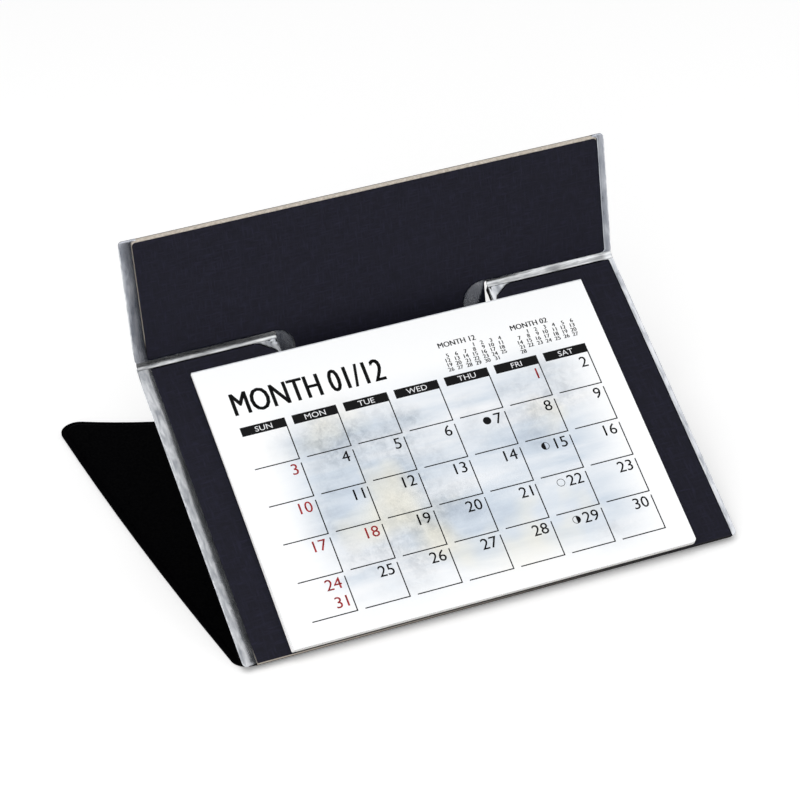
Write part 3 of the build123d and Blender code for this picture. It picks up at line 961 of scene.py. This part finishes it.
# Painted highlight across the fold: how pale the film is painted, from the front panel's side to the
# header's, by the notch and by the panel's end
left_by_notch = ((0, 0.1, 0.25, 0.38, 0.5, 0.6, 1), (0.19, 0.65, 0.84, 0.54, 0.14, 0.1, 0.1))
left_by_end = ((0, 0.12, 0.3, 0.42, 0.55, 0.7, 1), (0.25, 0.59, 0.57, 0.32, 0.1, 0.04, 0.05))
right_by_notch = (
    (0, 0.1, 0.22, 0.35, 0.48, 0.58, 0.68, 0.8, 0.9, 1),
    (0.11, 0.84, 0.66, 0.58, 0.78, 1.0, 0.79, 0.17, 0.07, 0.05),
)
right_by_end = (
    (0, 0.08, 0.18, 0.3, 0.45, 0.6, 0.7, 0.85, 1),
    (0.11, 0.9, 0.56, 0.54, 0.62, 0.65, 1.0, 1.0, 0.95),
)
left_crease_highlight = (left_by_notch, left_by_end, 0.14)
right_crease_highlight = (right_by_notch, right_by_end, 1.0)
end_gap, notch_gap = 0.35, 0.15
left_ends = (front_low[0] + end_gap, opening_left - notch_gap)
right_ends = (opening_right + notch_gap, front_high[0] - end_gap)
crease_strip("crease_film_left", *left_ends, *left_crease_highlight, "top_hinge_web_left")
crease_strip("crease_film_right", *right_ends, *right_crease_highlight, "top_hinge_web_right")


def base_sleeve():
    """Black base: the CAD outline with a thin welded rim that rises over the board inside it."""
    rim_height, rim_edge, sharp_angle = 0.9, 0.12, 50
    rises = (
        (0.15, rim_height),
        (1.5, rim_height),
        (0.15, rim_height - 0.14),
        (0.2, rim_height - 0.12),
        (0.15, rim_height + 0.06),
        (0.3, base_top - 0.3),
        (0.3, base_top - 0.1),
        (0.35, base_top - 0.02),
        (0.6, base_top),
    )
    work = bmesh.new()
    work.from_mesh(frame["nodes"]["base_cover_bottom"].data)
    bmesh.ops.transform(work, matrix=Matrix.Scale(1 / MM, 4), verts=work.verts)
    bmesh.ops.remove_doubles(work, verts=work.verts, dist=0.001)
    work.normal_update()
    for side in (1, -1):
        level_faces = [face for face in work.faces if face.normal.z * side > 0.99]
        bmesh.ops.dissolve_faces(work, faces=level_faces)
    upper = max(work.faces, key=lambda face: face.normal.z)
    for vertex in upper.verts:
        vertex.co.z = rim_height - rim_edge
    for inset, height in rises:
        bmesh.ops.inset_region(work, faces=[upper], thickness=inset, use_even_offset=True)
        for vertex in upper.verts:
            vertex.co.z = height
    mesh = bpy.data.meshes.new("base_sleeve")
    work.to_mesh(mesh)
    work.free()
    mesh.transform(base_panel)
    mesh.materials.append(base_vinyl)
    shade_smooth(mesh)
    mesh.set_sharp_from_angle(angle=math.radians(sharp_angle))
    piece = linked("base_sleeve", mesh)
    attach(piece, "base")
    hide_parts("base_cover_bottom", "base_cover_top")


base_sleeve()


def hinge_strip():
    """Black vinyl strip welded to the base and to the front panel's back, with the fold between them."""
    base_reach, panel_reach, thickness, back_gap = 6.0, 5.0, 0.22, 0.05
    bend_reach, tip_reach, wave_depth, station_count = 0.5, 0.35, 0.03, 60
    axis = Vector(front_fold["pos_m"]) / MM
    into_front = front_panel.inverted()
    lower_level = base_top + thickness / 2
    upper_level = front_back - thickness / 2 - back_gap
    lower = into_front @ (Vector((0, axis.y + base_reach, lower_level)) * MM)
    upper = Vector((0, panel_reach, upper_level))
    lower_bend = into_front @ (Vector((0, axis.y + bend_reach, lower_level)) * MM)
    upper_bend = Vector((0, bend_reach, upper_level))
    tip = Vector((0, -tip_reach, 0.0))
    arc = np.linspace(0, 1, 12)
    fold = [lower, *(lower_bend.lerp(tip, s).lerp(tip.lerp(upper_bend, s), s) for s in arc), upper]
    points = []
    for x in np.linspace(front_low[0], front_high[0], station_count):
        for side in (1, -1):
            for index, place in enumerate(fold):
                ahead = fold[min(index + 1, len(fold) - 1)] - fold[max(index - 1, 0)]
                normal = Vector((0, -ahead.z, ahead.y)).normalized()
                wave = ripples(x, index * 0.4, 9.0, 1.0, 2.2) * wave_depth
                offset = normal * (side * thickness / 2 + wave)
                points.append((x, place.y + offset.y, place.z + offset.z))
    faces = strip_faces(station_count, len(fold))[0]
    strip = new_piece("hinge_strip", points, faces, front_panel, [base_vinyl])
    turn_faces(strip)
    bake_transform(strip)
    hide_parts("base_hinge_web")


hinge_strip()


def leaf_lift(x, up):
    """How far the pad's top leaf stands off at a place: a slight wave, and lower corners that curl."""
    wave_depth, curl_depth, curl_start = 0.04, 0.1, 0.55
    across = (x - binding_low[0]) / (binding_high[0] - binding_low[0])
    down = 1 - (up - leaf_low[1]) / (binding_high[1] - leaf_low[1])
    corner = max(0, 2 * abs(across - 0.5) - curl_start) / (1 - curl_start)
    wave = wave_depth * (1 + math.sin(2.2 * math.pi * across + 0.6)) * down
    return wave + curl_depth * corner ** 2 * down ** 4


plate_counts = ("Columns", "Rows", "Points Across", "Points Down")
plate_lengths = ("Column Pitch", "Row Pitch", "Plate Width", "Plate Height")


def plate_grid_tree():
    """Thin plates repeated on a grid of columns and rows, each cut into small faces."""
    inputs = dict.fromkeys(plate_counts, "NodeSocketInt") | dict.fromkeys(plate_lengths, "NodeSocketFloat")
    inputs["Ink"] = "NodeSocketMaterial"
    tree, add, given, identifiers = geometry_tree("plate_grid", inputs)
    sizes = []
    for count, pitch in (("Columns", "Column Pitch"), ("Rows", "Row Pitch")):
        gaps = add(MATH, {"operation": "SUBTRACT", 1: 1.0}, {0: given[count]})
        sizes.append(add(MATH, {"operation": "MULTIPLY"}, {0: gaps, 1: given[pitch]}))
    cells = {"Size X": sizes[0], "Size Y": sizes[1]}
    cells |= {"Vertices X": given["Columns"], "Vertices Y": given["Rows"]}
    places = add("GeometryNodeMeshGrid", links=cells)
    outline = {"Size X": given["Plate Width"], "Size Y": given["Plate Height"]}
    outline |= {"Vertices X": given["Points Across"], "Vertices Y": given["Points Down"]}
    plate = add("GeometryNodeMeshGrid", links=outline)
    repeated = add("GeometryNodeInstanceOnPoints", links={"Points": places, "Instance": plate})
    finish_geometry(add, repeated, given["Ink"])
    return tree, identifiers


def mesh_parts(mesh):
    """A mesh's points and faces as plain lists."""
    points = np.array([vertex.co for vertex in mesh.vertices])
    faces = [tuple(polygon.vertices) for polygon in mesh.polygons]
    return points, faces


plate_tree, plate_inputs = plate_grid_tree()


def plate_grid(columns, rows, width, height, across, down):
    """Plates centred on the cells of the date grid, as points and faces."""
    values = dict(zip(plate_counts, (columns, rows, across, down)))
    values |= dict(zip(plate_lengths, (column_pitch, row_pitch, width, height)))
    values["Ink"] = black_ink
    return mesh_parts(grow(bpy.data.meshes.new("plates"), plate_tree, plate_inputs, values))


glyph_store = {}


def lettering(text):
    """A line of numbers or generic letters from its left end, as points and faces."""
    if text not in glyph_store:
        curve = bpy.data.curves.new("lettering", "FONT")
        curve.body = text
        curve.resolution_u = 3
        curve.fill_mode = "BOTH"
        source = linked("lettering", curve)
        mesh = evaluated_mesh(source)
        bpy.data.objects.remove(source)
        points, faces = mesh_parts(mesh)
        points[:, 0] -= points[:, 0].min()
        glyph_store[text] = (points, faces)
    return glyph_store[text]


capital_height = lettering("H")[0][:, 1].max()


class LeafPrint:
    """Print of one leaf, gathered as flat shapes in millimetres from the pad's upper left corner."""

    def __init__(self):
        self.points, self.faces, self.inks = [], [], []

    def add(self, points, faces, ink, raised=0.0):
        start = len(self.points)
        self.points += [(point[0], point[1], raised) for point in points]
        self.faces += [tuple(start + index for index in face) for face in faces]
        self.inks += [ink] * len(faces)

    def add_plates(self, plates, x, y):
        self.add(plates[0][:, :2] + (x, y), plates[1], BLACK)

    def write(self, text, x, baseline, height, ink, align=0.0, stretch=1.0, bold=0.0, raised=0.0):
        """Write a line; align 0 starts it at x, 0.5 centres it and 1 ends it there.

        Bold lines are struck twice, that many millimetres apart.
        """
        points, faces = lettering(text)
        scale = height / capital_height
        start = x - align * points[:, 0].max() * scale * stretch
        for shift in (-bold / 2, bold / 2) if bold else (0.0,):
            placed = [(start + shift + p[0] * scale * stretch, baseline - p[1] * scale) for p in points]
            self.add(placed, faces, ink, raised)

    def ring(self, x, y, outer, inner, ink, start=0.0, sweep=1.0):
        """A ring or, with inner 0, a disc; start and sweep are shares of a turn."""
        count = 25
        turns = np.linspace(start * 2 * math.pi, (start + sweep) * 2 * math.pi, count)
        points = [(x + r * math.cos(t), y + r * math.sin(t)) for r in (outer, inner) for t in turns]
        faces = [(i, i + 1, i + count + 1, i + count) for i in range(count - 1)]
        self.add(points, faces, ink)


BLACK, RED, BARE = 0, 1, 2
weekday_words = ("SUN", "MON", "TUE", "WED", "THU", "FRI", "SAT")
month_lengths = (31, 28, 31, 30, 31, 30, 31, 31, 30, 31, 30, 31)
first_column = 5
red_days = (1, 18)
title_left, title_baseline, title_height = 9.2, 19.4, 8.3
title_stretch, title_bold = 0.7, 0.4
word_height, word_foot, word_stretch, word_lift = 1.9, 0.75, 1.15, 0.002
date_height, date_gap, date_bold = 3.9, 1.9, 0.07
first_date_top, date_top, split_drop = 28.8, 1.4, 6.6
moon_phases = {7: "new", 15: "waxing", 22: "full", 29: "waning"}
moon_halves = {"new": (0, 1.0), "waxing": (0.25, 0.5), "waning": (-0.25, 0.5)}
moon_cycle, moon_outer, moon_inner, moon_disc = 30, 1.42, 1.22, 1.24
moon_gap_one_figure, moon_gap_two_figures = 5.2, 7.7
small_lefts, small_top = (84.0, 110.2), 13.0
small_height, small_bold, small_drop, small_end = 1.42, 0.14, 2.2, 1.0
small_column_pitch, small_row_pitch = 3.27, 1.78
heading_height, heading_shift, heading_stretch, heading_bold = 1.95, 1.2, 0.95, 0.16
bars = plate_grid(column_count, 1, bar_width, bar_height, 9, 3)
cross_rules = plate_grid(column_count, row_count, bar_width, rule_width, 9, 2)
down_rules = plate_grid(column_count, row_count, rule_width, rule_height, 2, 8)
grid_middle = bar_left + bar_width / 2 + column_pitch * (column_count - 1) / 2
rule_middle = rule_foot + row_pitch * (row_count - 1) / 2
down_shift = bar_width / 2 - rule_width / 2


def month_start(month):
    return (first_column + sum(month_lengths[:month])) % column_count


def small_month(sheet, month, x):
    """A small month of plain numbers, under the number of its month."""
    heading, start = f"MONTH {month + 1:02d}", x - heading_shift
    sheet.write(heading, start, small_top, heading_height, BLACK, 0.0, heading_stretch, heading_bold)
    for day in range(month_lengths[month]):
        row, column = divmod(day + month_start(month), column_count)
        place = x + column * small_column_pitch + small_end
        baseline = small_top + small_drop + row * small_row_pitch
        sheet.write(str(day + 1), place, baseline, small_height, BLACK, 1.0, bold=small_bold)


def leaf_print(month):
    """Dates of one month: a title, weekday bars, ruled cells, numbers, moon marks and two small months."""
    sheet = LeafPrint()
    title = f"MONTH {month + 1:02d}/{leaf_count}"
    sheet.write(title, title_left, title_baseline, title_height, BLACK, 0.0, title_stretch, title_bold)
    sheet.add_plates(bars, grid_middle, bar_top + bar_height / 2)
    for column, word in enumerate(weekday_words):
        x = bar_left + bar_width / 2 + column * column_pitch
        baseline = bar_top + bar_height - word_foot
        sheet.write(word, x, baseline, word_height, BARE, 0.5, word_stretch, raised=word_lift)
    sheet.add_plates(cross_rules, grid_middle, rule_middle)
    sheet.add_plates(down_rules, grid_middle + down_shift, rule_middle - rule_height / 2)
    for day in range(1, month_lengths[month] + 1):
        row, column = divmod(day - 1 + month_start(month), column_count)
        row_top = rule_foot + date_top + row_pitch * (min(row, row_count - 1) - 1)
        baseline = (first_date_top if row == 0 else row_top) + date_height
        if row == row_count:
            baseline += split_drop
        ink = RED if column == 0 or (month == 0 and day in red_days) else BLACK
        edge = bar_left + bar_width + column * column_pitch - date_gap
        sheet.write(str(day), edge, baseline, date_height, ink, 1.0, bold=date_bold)
        phase = moon_phases.get((day + month - 1) % moon_cycle + 1)
        if phase:
            x = edge - (moon_gap_one_figure if day < 10 else moon_gap_two_figures)
            y = baseline - date_height / 2
            sheet.ring(x, y, moon_outer, moon_inner, BLACK)
            if phase in moon_halves:
                sheet.ring(x, y, moon_disc, 0.0, BLACK, *moon_halves[phase])
    for neighbour, x in zip((month - 1, month + 1), small_lefts):
        small_month(sheet, neighbour % leaf_count, x)
    return sheet


def corner_inset(radius, above_foot):
    """How far a sheet's side is drawn in by its rounded lower corner."""
    short = max(0.0, radius - above_foot)
    return radius - math.sqrt(max(0.0, radius ** 2 - short ** 2))


def leaf_sheet(number):
    """One leaf of the pad with its print: a thin sheet, cut finer near where it is glued, with a slight wave
    and curled lower corners.
    """
    body = f"leaf_{number:02d}"
    low, high = span(body, front_panel)
    share = (leaf_count + 1 - number) / leaf_count
    slip_x, slip_up = slip.uniform(-0.12, 0.12), slip.uniform(0.0, 0.14)
    fan_step, bound_gap, bend_reach, sharp_angle, seed_step = 0.055, 0.15, 1.0, 40, 1.7
    fan = fan_step * (number - 1)
    left_radius, right_radius = 0.4, 1.5
    bound = binding_high[1] - bound_gap
    foot_up = low[1] + slip_up
    ups = np.concatenate(
        [
            foot_up + left_radius * (1 - np.cos(np.linspace(0, math.pi / 2, 5))),
            np.linspace(foot_up + left_radius, foot_up + right_radius, 7)[1:],
            np.linspace(foot_up + right_radius, high[1] - bend_reach, 36)[1:],
            np.linspace(high[1] - bend_reach, bound, 12)[1:],
        ]
    )
    across = np.linspace(0, 1, 49)
    points, faces = [], []
    for side in (leaf_thickness, 0.0):
        for up in ups:
            down = (bound - up) / (bound - foot_up)
            start = low[0] + slip_x - fan * down ** 2 + corner_inset(left_radius, up - foot_up)
            end = high[0] + slip_x - corner_inset(right_radius, up - foot_up)
            for place in across:
                x = start + (end - start) * place
                points.append((x, up, low[2] + side + leaf_lift(x, up) * share))
    wide, tall = len(across), len(ups)
    for quad in grid_faces(tall, wide):
        faces.append(quad)
        faces.append(tuple(index + wide * tall for index in reversed(quad)))
    sheet_faces = len(faces)
    border = [*range(wide), *(r * wide + wide - 1 for r in range(1, tall))]
    border += [*(tall * wide - 1 - s for s in range(1, wide)), *(r * wide for r in range(tall - 2, 0, -1))]
    for here, there in zip(border, border[1:] + border[:1]):
        faces.append((here, here + wide * tall, there + wide * tall, there))
    surfaces = [0] * sheet_faces + [1] * (len(faces) - sheet_faces)
    leaf = new_piece(f"{body}_sheet", points, faces, front_panel, [paper, paper_edge], surfaces)
    leaf.data.set_sharp_from_angle(angle=math.radians(sharp_angle))
    add_attribute(leaf, "leaf_seed", np.full(len(points), seed_step * number))
    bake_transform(leaf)
    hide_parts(body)

    sheet = leaf_print(number - 1)
    placed = []
    for x, y, raised in sheet.points:
        x, up = binding_low[0] + slip_x + x, binding_high[1] - y
        placed.append((x, up, low[2] + leaf_thickness + print_lift + raised + leaf_lift(x, up) * share))
    inks = [black_ink, red_ink, bare_paper]
    dates = new_piece(f"{body}_print", placed, sheet.faces, front_panel, inks, sheet.inks, False)
    turn_faces(dates, out_of(front_panel))
    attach(dates, body)


for leaf_number in range(1, leaf_count + 1):
    leaf_sheet(leaf_number)


# Stage: a white sweep of floor, soft lamps and the photograph's camera
def seen_by(add, ray, other_ray):
    """1 for two sorts of ray and 0 for the rest."""
    path = add("ShaderNodeLightPath")
    return add(MATH, {"operation": "MAXIMUM"}, {0: path.outputs[ray], 1: path.outputs[other_ray]})


def stage_floor():
    """A matt white floor that keeps the shadow; the camera and reflections see it a little brighter."""
    half, drop, lift = 4.0, 0.0002, 0.16
    matt = {"Roughness": 1.0, "Specular_IOR_Level": 0.0, "Base_Color": colour("#FCFCFC")}
    material, add, _ = start_material(
        "matt_white_floor", base_panel, Emission_Color=colour("#FFFFFF"), **matt
    )
    seen = seen_by(add, "Is Camera Ray", "Is Glossy Ray")
    glow = add(MATH, {"operation": "MULTIPLY", 1: lift}, {0: seen})
    feed(material.node_tree.nodes["Principled BSDF"], {"Emission Strength": glow})
    mesh = bpy.data.meshes.new("floor")
    corners = [(-half, -half, 0), (half, -half, 0), (half, half, 0), (-half, half, 0)]
    mesh.from_pydata(corners, [], [(0, 1, 2, 3)])
    mesh.materials.append(material)
    floor = linked("floor", mesh)
    floor.location.z = -drop
    floor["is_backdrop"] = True


def area_lamp(name, place, aim, size, power):
    lamp = bpy.data.lights.new(name, "AREA")
    lamp.shape = "DISK"
    lamp.size = size
    lamp.energy = power
    holder = linked(name, lamp)
    holder.location = place
    holder.rotation_euler = (Vector(aim) - Vector(place)).to_track_quat("-Z", "Y").to_euler()


def white_world():
    """White to the camera and through the film, dimmer as a light."""
    light_level, seen_level = 0.6, 1.0
    world = bpy.data.worlds.new("white_studio")
    bpy.context.scene.world = world
    world.use_nodes = True
    add = partial(add_node, world.node_tree)
    background = world.node_tree.nodes["Background"]
    background.inputs["Color"].default_value = colour("#FFFFFF")
    seen = seen_by(add, "Is Camera Ray", "Is Transmission Ray")
    level = add(RANGE, {"To Min": light_level, "To Max": seen_level}, {"Value": seen})
    feed(background, {"Strength": level})


def photo_camera():
    """Camera solved from the panel's corners in the photograph, in the row frame."""
    place = Vector((-289.73, -822.37, 575.21)) * MM
    right = Vector((0.9309, -0.3616, -0.0506))
    down = Vector((-0.2318, -0.4783, -0.8470))
    ahead = right.cross(down).normalized()
    right = down.cross(ahead).normalized()
    down = ahead.cross(right)
    camera = bpy.data.cameras.new("photo_camera")
    camera.sensor_width = 36.0
    camera.lens = 137.3
    holder = linked("photo_camera", camera)
    turned = Matrix((right, -down, -ahead)).transposed().to_4x4()
    holder.matrix_world = Matrix.Translation(place) @ turned
    bpy.context.scene.camera = holder


stage_floor()
white_world()
area_lamp("overhead_softbox", (-0.2, -0.45, 1.3), (0, 0, 0.03), 1.2, 6.4)
area_lamp("front_softbox", (-0.7, -1.3, 0.9), (0, 0, 0.05), 1.2, 6.1)
photo_camera()
bpy.context.scene.view_settings.view_transform = "Standard"

[[list(corner) for corner in box] for box in (cad_box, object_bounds())]
